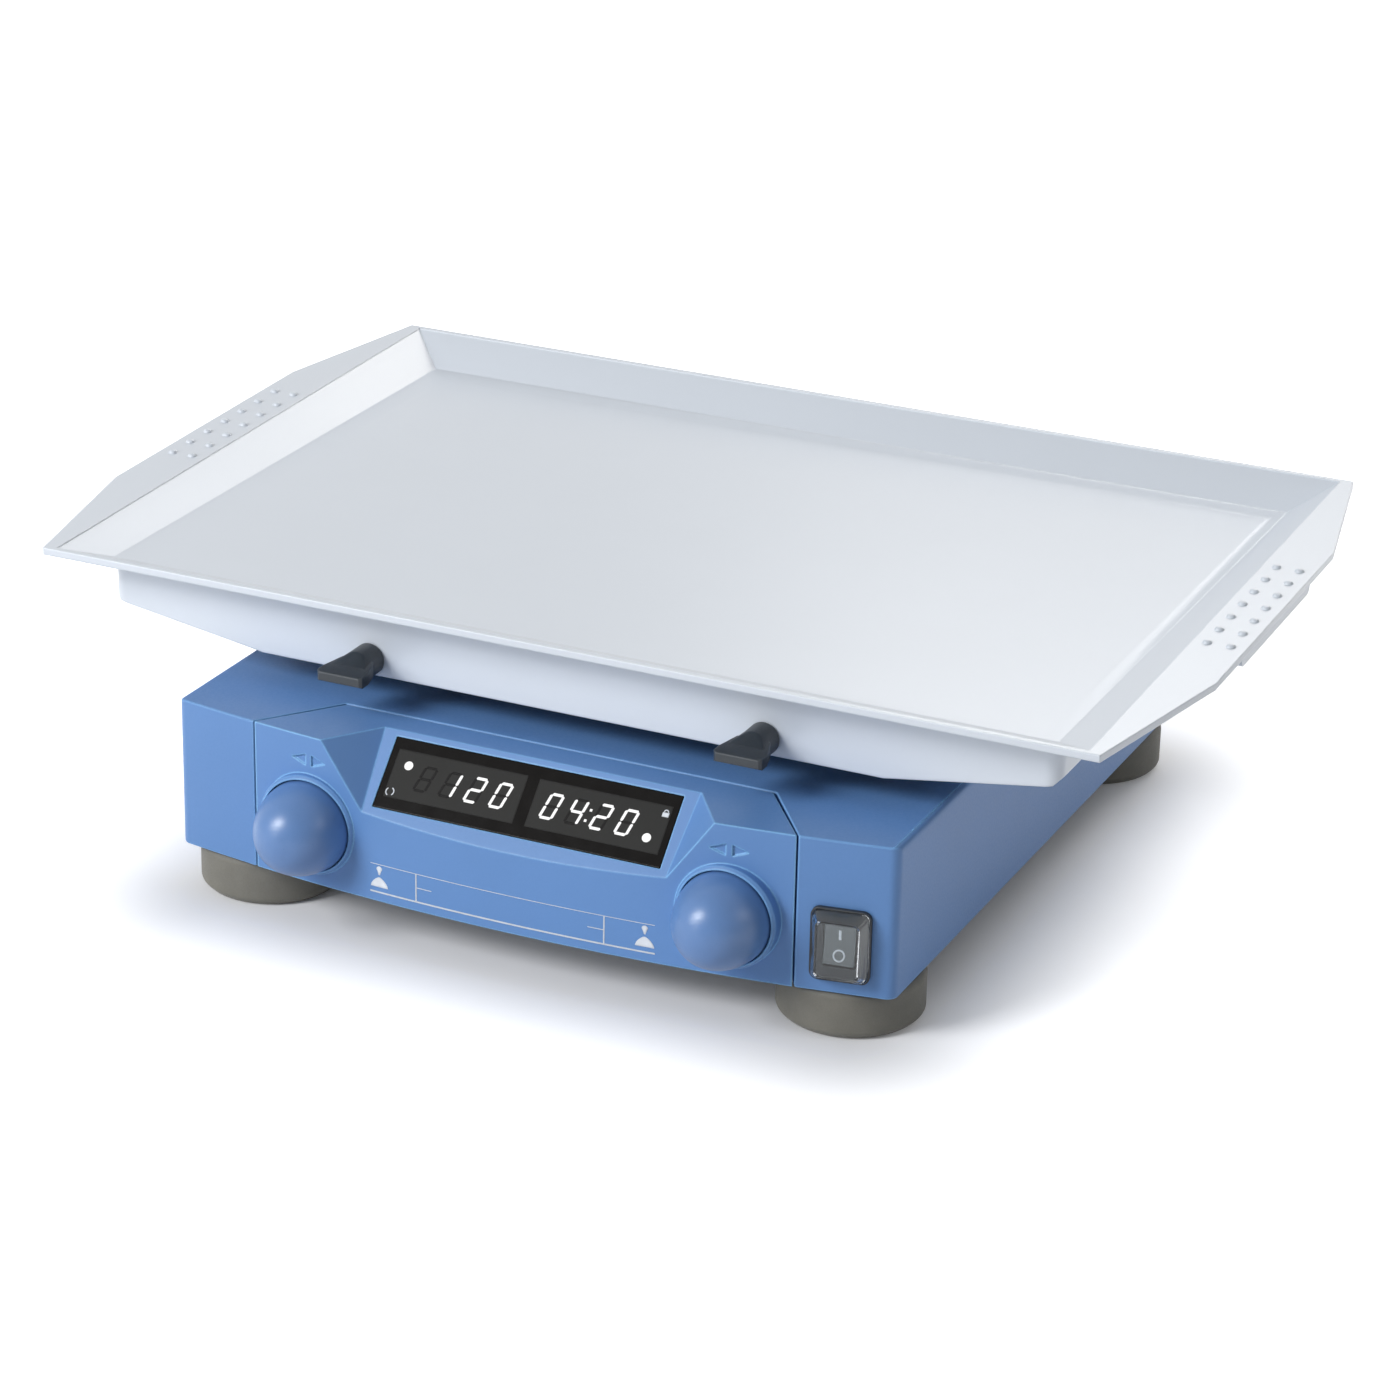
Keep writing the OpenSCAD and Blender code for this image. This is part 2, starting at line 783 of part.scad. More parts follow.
module left_encoder() encoder(-1);
module right_encoder() encoder(1);
module left_push_slider() push_slider(-1);
module right_push_slider() push_slider(1);
module left_encoder_shaft() encoder_shaft(-1);
module right_encoder_shaft() encoder_shaft(1);
module left_knob() knob(-1);
module right_knob() knob(1);

// An upright plate with rounded corners that runs from y_from to y_to
module y_plate(w, h, r, y_from, y_to) {
  translate([0, y_to, 0]) rotate([90, 0, 0]) linear_extrude(y_to - y_from) rounded_rect(w, h, r);
}

module switch_body() color("black") {
  at_switch() difference() {
    union() {
      y_plate(switch_w, switch_h, bezel_r, -switch_rim, 0);
      y_plate(switch_cut_w, switch_cut_h, 1, -cut, switch_deep);
      for (x = [-1, 1]) translate([x * switch_w / 5, switch_deep + tab_len / 2, 0])
        cube([tab_w, tab_len + 2 * cut, tab_h], center = true);
    }
    y_plate(rocker_w + 2 * move_gap, rocker_h + 4 * move_gap, move_gap, -2 * switch_rim, rocker_well);
    translate([0, rocker_axis, 0]) rotate([0, 90, 0])
      cylinder(h = rocker_w + 3, r = rocker_pin_r + run_gap, center = true);
  }
}

module switch_rocker() color("black") {
  at_switch() translate([0, rocker_axis, 0]) rotate([-rocker_swing / 2, 0, 0]) {
    rotate([0, 90, 0]) rotate([0, 0, 90]) linear_extrude(rocker_w, center = true)
      polygon([
        [-rocker_front, rocker_h / 2], [rocker_dip - rocker_front, 0], [-rocker_front, -rocker_h / 2],
        [-1, -rocker_h / 2 + 0.4], [rocker_heel, -3], [rocker_heel, 3], [-1, rocker_h / 2 - 0.4]
      ]);
    rotate([0, 90, 0]) cylinder(h = rocker_w + 2, r = rocker_pin_r, center = true);
  }
}

// A tapered block over the rocker, set in by inset from the outside of the splash cover
module boot_block(inset, back_y) {
  w = switch_w - 2 * (boot_edge + inset);
  h = switch_h - 2 * (boot_edge + inset);
  front = -switch_rim - boot_out + inset;
  hull() {
    y_plate(w, h, bezel_r - boot_edge - inset / 2, back_y - boot_edge, back_y, $fn = 24);
    y_plate(w - 2 * boot_taper, h - 2 * boot_taper, 2 - inset / 2, front, front + boot_edge, $fn = 24);
  }
}

// Clear splash cover over the rocker
module switch_boot() color("gainsboro", 0.4) {
  at_switch() difference() {
    boot_block(0, -switch_rim);
    boot_block(boot_t, cut - switch_rim);
  }
}

module at_inlet() {
  translate([inlet_x, base_y + body_d / 2, inlet_z]) children();
}

module power_inlet() color("black") {
  at_inlet() difference() {
    union() {
      y_plate(inlet_w + inlet_ear_w, inlet_h + 4, 3, 0, flange_t);
      y_plate(inlet_w, inlet_h, 1.5, -inlet_deep, 1);
    }
    y_plate(inlet_w - 3, inlet_h - 4, 2, -mouth_deep, 2 * flange_t);
    for (x = [-1, 1]) translate([x * inlet_screw_x, 0, 0])
      y_rod(inlet_screw_r, -2 * flange_t, 2 * flange_t);
    inlet_blades();
  }
}

// Three flat contacts, tips set well back in the mouth
module inlet_blades() {
  for (p = [[-7, -2], [0, 2], [7, -2]])
    translate([p[0] - blade_w / 2, -inlet_deep - blade_back, p[1] - blade_h / 2])
      cube([blade_w, blade_len, blade_h]);
}

module inlet_pins() color("silver") {
  at_inlet() inlet_blades();
}

module inlet_screws() color("silver") {
  at_inlet() for (x = [-1, 1])
    translate([x * inlet_screw_x, flange_t, 0]) rotate([90, 0, 0]) screw(inlet_screw_r, inlet_screw_len);
}

module interface_socket() color("silver") {
  translate([socket_x, base_y + body_d / 2, inlet_z]) difference() {
    union() {
      y_plate(socket_w, socket_h, 1, 0, 0.6 * flange_t);
      y_plate(shell_w, shell_h, 2.5, 0, flange_t + socket_reach);
      y_plate(plug_w, plug_h, 1, -plug_deep, 0.5);
    }
    for (row = [0, 1], i = [0:4 - row])
      translate([(i - 2 + row / 2) * pin_pitch, 0, (0.5 - row) * pin_pitch])
        y_rod(0.6, flange_t + socket_reach - 5, flange_t + socket_reach + cut);
  }
}

module motor_case() color("darkgray") {
  at_motor(plate_z) difference() {
    union() {
      cylinder(h = motor_h, r = motor_r);
      cylinder(h = base_flange_t, r = motor_r + 6);
    }
    translate([0, 0, motor_h - shaft_seat]) cylinder(h = shaft_seat + cut, r = shaft_r + run_gap);
    motor_screw_places() translate([0, 0, -cut])
      cylinder(h = base_flange_t + 2 * cut, r = motor_screw_r + 0.1);
  }
}

module motor_screw_places() {
  for (a = [45:90:315]) rotate([0, 0, a]) translate([motor_r + 3, 0, 0]) children();
}

module motor_screws() color("silver") {
  at_motor(plate_z + base_flange_t) motor_screw_places() mirror([0, 0, 1])
    screw(motor_screw_r, base_flange_t);
}

module motor_shaft() color("silver") {
  from_z = plate_z + motor_h - shaft_seat + move_gap;
  at_motor(from_z) cylinder(h = pulley_z + pulley_h + 1 - from_z, r = shaft_r);
}

// Flanged pulley on the motor shaft
module motor_pulley() color("silver") {
  at_motor(pulley_z) difference() {
    union() {
      cylinder(h = pulley_h, r = motor_pulley_r);
      cylinder(h = 1, r = motor_pulley_r + 2.5);
      translate([0, 0, pulley_h - 1]) cylinder(h = 1, r = motor_pulley_r + 2.5);
    }
    translate([0, 0, -cut]) cylinder(h = pulley_h + 2 * cut, r = shaft_r);
  }
}

module belt_loop(grow) {
  hull() {
    circle(r = pulley_r + grow, $fn = 96);
    translate([0, motor_gap]) circle(r = motor_pulley_r + grow, $fn = 32);
  }
}

module drive_belt() color("black") {
  at_drive(belt_z) linear_extrude(belt_w) difference() {
    belt_loop(fit_gap + belt_t);
    belt_loop(fit_gap);
  }
}

module driven_pulley() color("silver") {
  at_drive(pulley_z) difference() {
    cylinder(h = pulley_h, r = pulley_r);
    translate([0, 0, -cut]) cylinder(h = pulley_h + 2 * cut, r = spindle_r);
    for (a = [0:60:300])
      rotate([0, 0, a]) translate([(pulley_r + spindle_r) / 2, 0, -cut])
        cylinder(h = pulley_h + 2 * cut, r = (pulley_r - spindle_r) / 2 - 6);
  }
}

// Spindle whose top pin stands off its axis by the radius of the orbit
module drive_spindle() color("silver") {
  at_drive(plate_z + 2) cylinder(h = spindle_top_z - plate_z - 2, r = spindle_r);
  at_drive(spindle_top_z) cylinder(h = spindle_head_t, r = spindle_head_r);
  at_drive(spindle_top_z) translate([0, orbit_r, 0])
    cylinder(h = drive_pin_top_z - spindle_top_z, r = drive_pin_r);
}

module counterweight() color("slategray") {
  at_drive(weight_z) difference() {
    union() {
      intersection() {
        cylinder(h = weight_h, r = weight_r);
        translate([-weight_r, -weight_r - cut, -cut])
          cube([2 * weight_r, weight_r + cut, weight_h + 2 * cut]);
      }
      cylinder(h = weight_h, r = spindle_r + weight_hub);
    }
    translate([0, 0, -cut]) cylinder(h = weight_h + 2 * cut, r = spindle_r);
  }
}

// Flanged pedestal that carries the spindle's two bearings
module spindle_housing() color("darkgray") {
  at_drive(plate_z) difference() {
    union() {
      cylinder(h = base_flange_t, r = spindle_bearing_r + pedestal_rim);
      cylinder(h = housing_top_z - plate_z, r = spindle_bearing_r + pedestal_wall);
    }
    translate([0, 0, 3]) cylinder(h = housing_top_z - plate_z, r = spindle_bearing_r);
    translate([0, 0, -cut]) cylinder(h = base_flange_t + 2 * cut, r = spindle_r + 2);
  }
}

module spindle_bearings() color("lightgray") {
  at_drive() for (z = [plate_z + 3, housing_top_z - bearing_h])
    translate([0, 0, z]) ring(spindle_bearing_r, spindle_r + run_gap, bearing_h);
}

module guide_pillars() color("darkgray") {
  at_drive(plate_z) for (g = guides) translate(g) difference() {
    union() {
      cylinder(h = top_in_z - plate_z, r = pillar_r);
      cylinder(h = base_flange_t, r = pillar_r + 5);
    }
    translate([0, 0, top_in_z - plate_z - bearing_h - 2])
      cylinder(h = bearing_h + 2 + cut, r = crank_bearing_r);
    translate([0, 0, 6]) cylinder(h = top_in_z, r = crank_bearing_r - 2.5);
  }
}

module pillar_bearings() color("lightgray") {
  at_drive(top_in_z - bearing_h - 2) for (g = guides)
    translate(g) ring(crank_bearing_r, crank_pin_r + run_gap, bearing_h);
}

// Crank that keeps the table from turning: two equal pins, offset like the drive pin
module guide_crank(i) {
  at_drive() translate(guides[i]) color("silver") {
    translate([0, 0, top_in_z - bearing_h - 5])
      cylinder(h = crank_disc_z - top_in_z + bearing_h + 5 + cut, r = crank_pin_r);
    translate([0, orbit_r / 2, crank_disc_z]) cylinder(h = crank_disc_t, r = crank_disc_r);
    translate([0, orbit_r, crank_disc_z + crank_disc_t - cut])
      cylinder(h = drive_pin_top_z - crank_disc_z - crank_disc_t + cut, r = crank_pin_r);
  }
}

module front_left_crank() guide_crank(0);
module front_right_crank() guide_crank(1);
module rear_left_crank() guide_crank(2);
module rear_right_crank() guide_crank(3);

// Rubber rings that close the shaft holes in the cover's top
module shaft_seals() color("black") {
  at_drive(top_in_z) {
    ring(spindle_bearing_r, drive_pin_r + orbit_r + move_gap, seal_t);
    for (g = guides) translate(g) ring(crank_bearing_r, crank_pin_r + move_gap, seal_t);
  }
}

// Cast table: flat top, down-turned edge, ribs and bearing bosses
module table() color("silver") {
  edge_h = table_z - table_low_z;
  hub_h = bearing_h + table_t + 0.5;
  at_drive() difference() {
    union() {
      difference() {
        translate([0, 0, table_low_z])
          linear_extrude(edge_h) rounded_rect(2 * table_half_w, 2 * table_half_d, 8);
        translate([0, 0, table_low_z - cut])
          linear_extrude(edge_h - table_t + cut)
            rounded_rect(2 * (table_half_w - table_wall), 2 * (table_half_d - table_wall), 4.5);
      }
      translate([0, orbit_r, table_z - hub_h]) cylinder(h = hub_h, r = hub_bearing_r + 4);
      for (g = guides)
        translate([g[0], g[1] + orbit_r, table_z - hub_h]) cylinder(h = hub_h, r = pillar_r);
      for (y = [-guide_y, guide_y])
        translate([0, y + orbit_r, table_z - rib_h / 2])
          cube([2 * table_half_w - table_wall, rib_t, rib_h], center = true);
      for (x = [-guide_x, guide_x, 0])
        translate([x, 0, table_z - rib_h / 2])
          cube([rib_t, 2 * table_half_d - table_wall, rib_h], center = true);
    }
    translate([0, orbit_r, table_z - table_t - 0.5 - bearing_h - cut])
      cylinder(h = bearing_h + 0.5 + cut, r = hub_bearing_r);
    for (g = guides) translate([g[0], g[1] + orbit_r, table_z - table_t - 0.5 - bearing_h - cut])
      cylinder(h = bearing_h + 0.5 + cut, r = crank_bearing_r);
  }
}

module table_hub_bearing() color("lightgray") {
  at_drive(drive_pin_top_z - bearing_h)
    translate([0, orbit_r, 0]) ring(hub_bearing_r, drive_pin_r + run_gap, bearing_h);
}

module table_crank_bearings() color("lightgray") {
  at_drive(drive_pin_top_z - bearing_h) for (g = guides)
    translate([g[0], g[1] + orbit_r, 0]) ring(crank_bearing_r, crank_pin_r + run_gap, bearing_h);
}

// Thin plate in the plane of the rim, or at the height of the floor
module rim_plate(half_w, half_d, from, to) {
  on_rim() translate([0, 0, from]) linear_extrude(to - from) square([2 * half_w, 2 * half_d], center = true);
}

module floor_plate(half_w, half_d, from, to) {
  at_drive(from) linear_extrude(to - from) square([2 * half_w, 2 * half_d], center = true);
}

// Outline of the rim and its two handles seen from above
module rim_outline() {
  polygon([
    [-tip_half_w, -rim_half_d], [tip_half_w, -rim_half_d],
    [handle_half_w, -handle_half_d], [handle_half_w, handle_half_d],
    [tip_half_w, rim_half_d], [-tip_half_w, rim_half_d],
    [-handle_half_w, handle_half_d], [-handle_half_w, -handle_half_d]
  ]);
}

// Shallow pan with flared walls, two flat handles and a deep skirt, in one moulding
module dish_tray() color("whitesmoke") {
  lip = 2.2;
  difference() {
    union() {
      hull() {
        floor_plate(skirt_half_w, skirt_half_d, floor_z - tray_t, floor_z - tray_t / 2);
        rim_plate(rim_half_w + lip, rim_half_d - 0.6, -rim_t, -rim_t / 2);
      }
      on_rim() translate([0, 0, -rim_t]) linear_extrude(rim_t) rim_outline();
      for (side = [-1, 1]) on_rim() {
        grip_dots(side);
        finger_lip(side);
      }
      tray_skirt();
      tray_ribs();
    }
    hull() {
      floor_plate(floor_half_w, floor_half_d, floor_z, floor_z + floor_step);
      rim_plate(rim_half_w, rim_half_d - lip, -floor_step, cut);
    }
    for (side = [-1, 1]) at_clamp(side) y_rod(bush_r, -skirt_half_d - cut, -skirt_half_d + 2 * skirt_t);
  }
}

module tray_skirt() {
  low = 2.6;
  at_drive() intersection() {
    translate([0, 0, skirt_low_z]) linear_extrude(floor_z - tray_t / 2 - skirt_low_z) difference() {
      rounded_rect(2 * skirt_half_w, 2 * skirt_half_d, 5.5);
      rounded_rect(2 * (skirt_half_w - skirt_t), 2 * (skirt_half_d - skirt_t), 3);
    }
    rotate([90, 0, 0]) linear_extrude(far, center = true) polygon([
      [-skirt_half_w, skirt_side_z + low], [-skirt_half_w + low, skirt_side_z],
      [-skirt_deep_half, skirt_low_z], [skirt_deep_half, skirt_low_z],
      [skirt_half_w - low, skirt_side_z], [skirt_half_w, skirt_side_z + low],
      [skirt_half_w, floor_z], [-skirt_half_w, floor_z]
    ]);
  }
}

// Ribs under the floor that hold the tray in line on the table
module tray_ribs() {
  h = rib_drop + cut;
  at_drive(table_z + cut - h / 2) for (s = [-1, 1]) {
    translate([s * (table_half_w + rib_gap + rib_t / 2), 0, 0]) cube([rib_t, side_rib, h], center = true);
    translate([s * back_rib_x, table_half_d + rib_gap + rib_t / 2, 0])
      cube([back_rib, rib_t, h], center = true);
  }
}

// Two rows of round-topped dots along a handle
module grip_dots(side) {
  dot = [[0, -0.8], [1.6, -0.8], [1.6, 0.2], [1.45, 0.55], [1.1, 0.9], [0.5, 1.1], [0, 1.1]];
  for (i = [-3:3], share = [0.28, 0.72])
    translate([side * (rim_half_w + share * handle_w), i * dot_pitch + grip_back, 0])
      rotate_extrude() polygon(dot);
}

module finger_lip(side) {
  translate([side * (handle_half_w - finger_t), grip_back, -rim_t - finger_h / 4]) rotate([90, 0, 90])
    linear_extrude(finger_t, center = true)
      rounded_rect(6 * dot_pitch, finger_h, finger_t);
}

// Threaded bushes in the skirt, one for each clamp screw
module clamp_bushes() color("goldenrod") {
  for (side = [-1, 1]) at_clamp(side) difference() {
    union() {
      y_rod(bush_r, -skirt_half_d + 0.3, -skirt_half_d + skirt_t);
      y_rod(bush_flange_r, -skirt_half_d + skirt_t, -skirt_half_d + skirt_t + bush_flange_t);
    }
    y_rod(stud_r + run_gap, -skirt_half_d - cut, -table_half_d);
  }
}

module clamp_pad(side) {
  at_clamp(side) color("ivory") y_rod(pad_r, -table_half_d - 0.1 - pad_t, -table_half_d - 0.1);
}

// Stud with a moulded wing that flares towards its front edge
module clamp_screw(side) {
  hub_y = -skirt_half_d - clamp_front;
  tip_y = -skirt_half_d - wing_len;
  at_clamp(side) color("darkslategray") {
    y_rod(stud_r, hub_y - 2, -table_half_d - 0.1 - pad_t);
    y_rod(clamp_hub_r, hub_y - hub_len, hub_y);
    hull() {
      y_rod(clamp_hub_r, hub_y - hub_len, hub_y - 6);
      translate([-wing_w * 0.36, tip_y + 7, -wing_t * 0.62]) cube([wing_w * 0.72, 0.1, wing_t * 1.24]);
    }
    hull() {
      translate([-wing_w * 0.34, hub_y - hub_len, -wing_t * 0.7]) cube([wing_w * 0.68, 1, wing_t * 1.4]);
      translate([-wing_w / 2, tip_y + 1, -wing_t / 2]) cube([wing_w, 4, wing_t]);
      translate([-wing_w / 2 + 1, tip_y, -wing_t / 2 + 0.5]) cube([wing_w - 2, 4, wing_t - 1]);
    }
  }
}

module left_clamp_pad() clamp_pad(-1);
module right_clamp_pad() clamp_pad(1);
module left_clamp_screw() clamp_screw(-1);
module right_clamp_screw() clamp_screw(1);

housing_cover();
base_plate();
front_left_foot();
front_right_foot();
rear_left_foot();
rear_right_foot();
foot_screws();
cover_screws();
control_panel();
panel_screws();
display_window();
display_board();
digit_modules();
control_board();
power_board();
left_encoder();
right_encoder();
left_push_slider();
right_push_slider();
left_encoder_shaft();
right_encoder_shaft();
left_knob();
right_knob();
switch_body();
switch_rocker();
switch_boot();
power_inlet();
inlet_pins();
inlet_screws();
interface_socket();
motor_case();
motor_screws();
motor_shaft();
motor_pulley();
drive_belt();
driven_pulley();
drive_spindle();
counterweight();
spindle_housing();
spindle_bearings();
guide_pillars();
pillar_bearings();
front_left_crank();
front_right_crank();
rear_left_crank();
rear_right_crank();
shaft_seals();
table();
table_hub_bearing();
table_crank_bearings();
dish_tray();
clamp_bushes();
left_clamp_pad();
right_clamp_pad();
left_clamp_screw();
right_clamp_screw();
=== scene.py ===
"""Looks of the orbital shaker: finishes, lit numerals, printed marks, camera and studio.

Lengths are in millimetres in the part's frame, and MM turns them into Blender's metres. The
studio's lengths, CLIP_END and WELD_WITHIN are in metres.
"""
import json
import math

import bpy
from mathutils import Matrix, Vector


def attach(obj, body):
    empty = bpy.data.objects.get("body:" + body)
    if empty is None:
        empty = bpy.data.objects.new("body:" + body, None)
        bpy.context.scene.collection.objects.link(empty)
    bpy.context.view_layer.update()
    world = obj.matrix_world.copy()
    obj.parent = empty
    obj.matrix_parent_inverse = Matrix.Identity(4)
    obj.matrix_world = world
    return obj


MM = 0.001
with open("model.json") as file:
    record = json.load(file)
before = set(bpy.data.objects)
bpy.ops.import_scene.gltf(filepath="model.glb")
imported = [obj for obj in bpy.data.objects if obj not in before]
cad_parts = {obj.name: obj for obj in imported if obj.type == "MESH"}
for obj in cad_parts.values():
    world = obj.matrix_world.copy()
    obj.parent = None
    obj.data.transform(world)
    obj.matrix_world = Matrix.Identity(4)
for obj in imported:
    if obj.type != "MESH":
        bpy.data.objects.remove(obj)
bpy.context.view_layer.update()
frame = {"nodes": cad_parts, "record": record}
nodes = frame["nodes"]


# Camera, fitted to the photograph

# Degrees to the side, above level and of roll
AZIMUTH, ELEVATION, ROLL = 24.583, 22.683, 1.246
EYE = Vector((591.6, -1280.05, 640.5)) * MM
FRAME_PX, FOCAL_PX = 1400.0, 4250.3
SENSOR_MM = 36.0
CLIP_END = 50.0


def add_camera():
    azimuth, elevation, roll = (math.radians(angle) for angle in (AZIMUTH, ELEVATION, ROLL))
    level = math.cos(elevation)
    back = Vector((math.sin(azimuth) * level, -math.cos(azimuth) * level, math.sin(elevation)))
    right = Vector((math.cos(azimuth), math.sin(azimuth), 0.0))
    up = right.cross(-back)
    across = right * math.cos(roll) + up * math.sin(roll)
    above = up * math.cos(roll) - right * math.sin(roll)
    turn = Matrix((across, above, back)).transposed().to_4x4()
    data = bpy.data.cameras.new("camera")
    data.sensor_width = SENSOR_MM
    data.lens = FOCAL_PX / FRAME_PX * SENSOR_MM
    data.clip_end = CLIP_END
    camera = bpy.data.objects.new("camera", data)
    camera.matrix_world = Matrix.Translation(EYE) @ turn
    bpy.context.scene.collection.objects.link(camera)
    bpy.context.scene.camera = camera


add_camera()


# Materials

# The Mix node's colour sockets go by number, because its other kinds use the same names
MIX_FIRST, MIX_SECOND, MIX_RESULT = 6, 7, 2
# Painted highlight on edges: how far its mask reaches, and the agreement of the two normals between which it
# fades
HIGHLIGHT_MM, HIGHLIGHT_FULL, HIGHLIGHT_NONE = 1.0, 0.84, 0.995
MASK_SAMPLES, EASE_SAMPLES = 4, 6
# Noise between these two values takes up a finish's whole range
NOISE_LOW, NOISE_HIGH = 0.3, 0.7
# Colour of the grain as a share of the finish's own, and how fine a finish's noise is
GRAIN_SHADE, FINE = 0.6, 3.0
CLEAR_IOR = 1.42


def linear(hex_colour):
    """Linear colour of an sRGB hex value such as 5B86C2."""
    parts = [int(hex_colour[i:i + 2], 16) / 255 for i in (0, 2, 4)]
    return [p / 12.92 if p <= 0.04045 else ((p + 0.055) / 1.055) ** 2.4 for p in parts] + [1.0]


def shade(hex_colour, factor):
    return [min(1.0, c * factor) for c in linear(hex_colour)[:3]] + [1.0]


class Tree:
    """A node tree with short calls that add and link its nodes."""

    def __init__(self, node_tree):
        self.nodes = node_tree.nodes
        self.links = node_tree.links

    def add(self, kind, **settings):
        node = self.nodes.new(kind)
        for key, value in settings.items():
            setattr(node, key, value)
        return node

    def link(self, source, target):
        self.links.new(source, target)


class Graph(Tree):
    """A material's node tree with the groups of nodes that the finishes share."""

    def __init__(self, name):
        self.material = bpy.data.materials.new(name)
        self.material.use_nodes = True
        super().__init__(self.material.node_tree)
        self.shader = self.nodes["Principled BSDF"]
        self.place = self.add("ShaderNodeTexCoord").outputs["Object"]

    def noise(self, size_mm, detail=2.0, stretch=(1, 1, 1)):
        """Noise whose features are about size_mm across."""
        mapping = self.add("ShaderNodeMapping")
        mapping.inputs["Scale"].default_value = stretch
        self.link(self.place, mapping.inputs["Vector"])
        node = self.add("ShaderNodeTexNoise")
        node.inputs["Scale"].default_value = 1 / (size_mm * MM)
        node.inputs["Detail"].default_value = detail
        self.link(mapping.outputs["Vector"], node.inputs["Vector"])
        return node.outputs["Fac"]

    def ranged(self, source, low, high, from_low=NOISE_LOW, from_high=NOISE_HIGH):
        node = self.add("ShaderNodeMapRange")
        self.link(source, node.inputs["Value"])
        ends = {"From Min": from_low, "From Max": from_high, "To Min": low, "To Max": high}
        for key, value in ends.items():
            node.inputs[key].default_value = value
        return node.outputs["Result"]

    def mixed(self, factor, first, second):
        node = self.add("ShaderNodeMix", data_type="RGBA")
        self.link(factor, node.inputs["Factor"])
        for value, socket in ((first, node.inputs[MIX_FIRST]), (second, node.inputs[MIX_SECOND])):
            if isinstance(value, list):
                socket.default_value = value
            else:
                self.link(value, socket)
        return node.outputs[MIX_RESULT]

    def painted_highlight_mask(self):
        """Mask of the painted highlight: 1 along sharp edges and 0 on flat ground."""
        bevel = self.add("ShaderNodeBevel", samples=MASK_SAMPLES)
        bevel.inputs["Radius"].default_value = HIGHLIGHT_MM * MM
        geometry = self.add("ShaderNodeNewGeometry")
        dot = self.add("ShaderNodeVectorMath", operation="DOT_PRODUCT")
        self.link(bevel.outputs["Normal"], dot.inputs[0])
        self.link(geometry.outputs["Normal"], dot.inputs[1])
        return self.ranged(dot.outputs["Value"], 1.0, 0.0, HIGHLIGHT_FULL, HIGHLIGHT_NONE)

    def eased(self, radius_mm):
        """Normals that turn over an edge within radius_mm, so that the edge catches the light."""
        node = self.add("ShaderNodeBevel", samples=EASE_SAMPLES)
        node.inputs["Radius"].default_value = radius_mm * MM
        return node.outputs["Normal"]

    def bump(self, source, height_mm, chain=None):
        node = self.add("ShaderNodeBump")
        node.inputs["Distance"].default_value = height_mm * MM
        node.inputs["Strength"].default_value = 1.0
        self.link(source, node.inputs["Height"])
        if chain is not None:
            self.link(chain, node.inputs["Normal"])
        return node.outputs["Normal"]

    def set(self, **values):
        """Sets the shader's sockets, whose names are given with _ for each space."""
        for key, value in values.items():
            self.shader.inputs[key.replace("_", " ")].default_value = value


def finish(name, colour, rough, grain_mm, grain_high, mottle=0.05, patch_mm=35.0, edge=None,
           metallic=0.0, coat=0.0, coat_rough=0.1, specular=0.5, sheen=0.0, stretch=(1, 1, 1),
           ease_mm=0.7, gloss_spread=(0.85, 1.2)):
    """A moulded, painted or metal finish with patches and grain, and edges lightened by a painted highlight
    where edge is given.
    """
    graph = Graph(name)
    patches = graph.ranged(graph.noise(patch_mm, FINE), 0.0, 1.0)
    grain = graph.noise(grain_mm, FINE, stretch)
    tone = graph.mixed(patches, shade(colour, 1 - mottle), shade(colour, 1 + mottle))
    tone = graph.mixed(graph.ranged(grain, 0.0, mottle * 2), tone, shade(colour, GRAIN_SHADE))
    # Painted highlight: the colour along edges is lightened by the factor edge
    if edge is not None:
        tone = graph.mixed(graph.painted_highlight_mask(), tone, shade(colour, edge))
    graph.link(tone, graph.shader.inputs["Base Color"])
    smoothest, roughest = (rough * share for share in gloss_spread)
    graph.link(graph.ranged(grain, smoothest, roughest), graph.shader.inputs["Roughness"])
    graph.link(graph.bump(grain, grain_high, graph.eased(ease_mm)), graph.shader.inputs["Normal"])
    graph.set(Metallic=metallic, Coat_Weight=coat, Coat_Roughness=coat_rough,
              Specular_IOR_Level=specular, Sheen_Weight=sheen)
    return graph.material


def clear_finish(name, tint, rough, haze_mm=4.0, wave_mm=1.2, wave_high=0.01, gloss_spread=(0.7, 1.5)):
    """A clear moulding with a faint haze and waves."""
    graph = Graph(name)
    graph.set(Base_Color=linear(tint), Transmission_Weight=1.0, IOR=CLEAR_IOR)
    smoothest, roughest = (rough * share for share in gloss_spread)
    graph.link(graph.ranged(graph.noise(haze_mm), smoothest, roughest), graph.shader.inputs["Roughness"])
    graph.link(graph.bump(graph.noise(wave_mm), wave_high), graph.shader.inputs["Normal"])
    return graph.material


def glow_finish(name, colour, strength, least=0.93, patch_mm=1.5):
    """A lit segment: its face glows a little unevenly."""
    graph = Graph(name)
    graph.set(Base_Color=linear("202020"), Roughness=0.4, Emission_Color=linear(colour))
    glow = graph.ranged(graph.noise(patch_mm), strength * least, strength)
    graph.link(glow, graph.shader.inputs["Emission Strength"])
    return graph.material
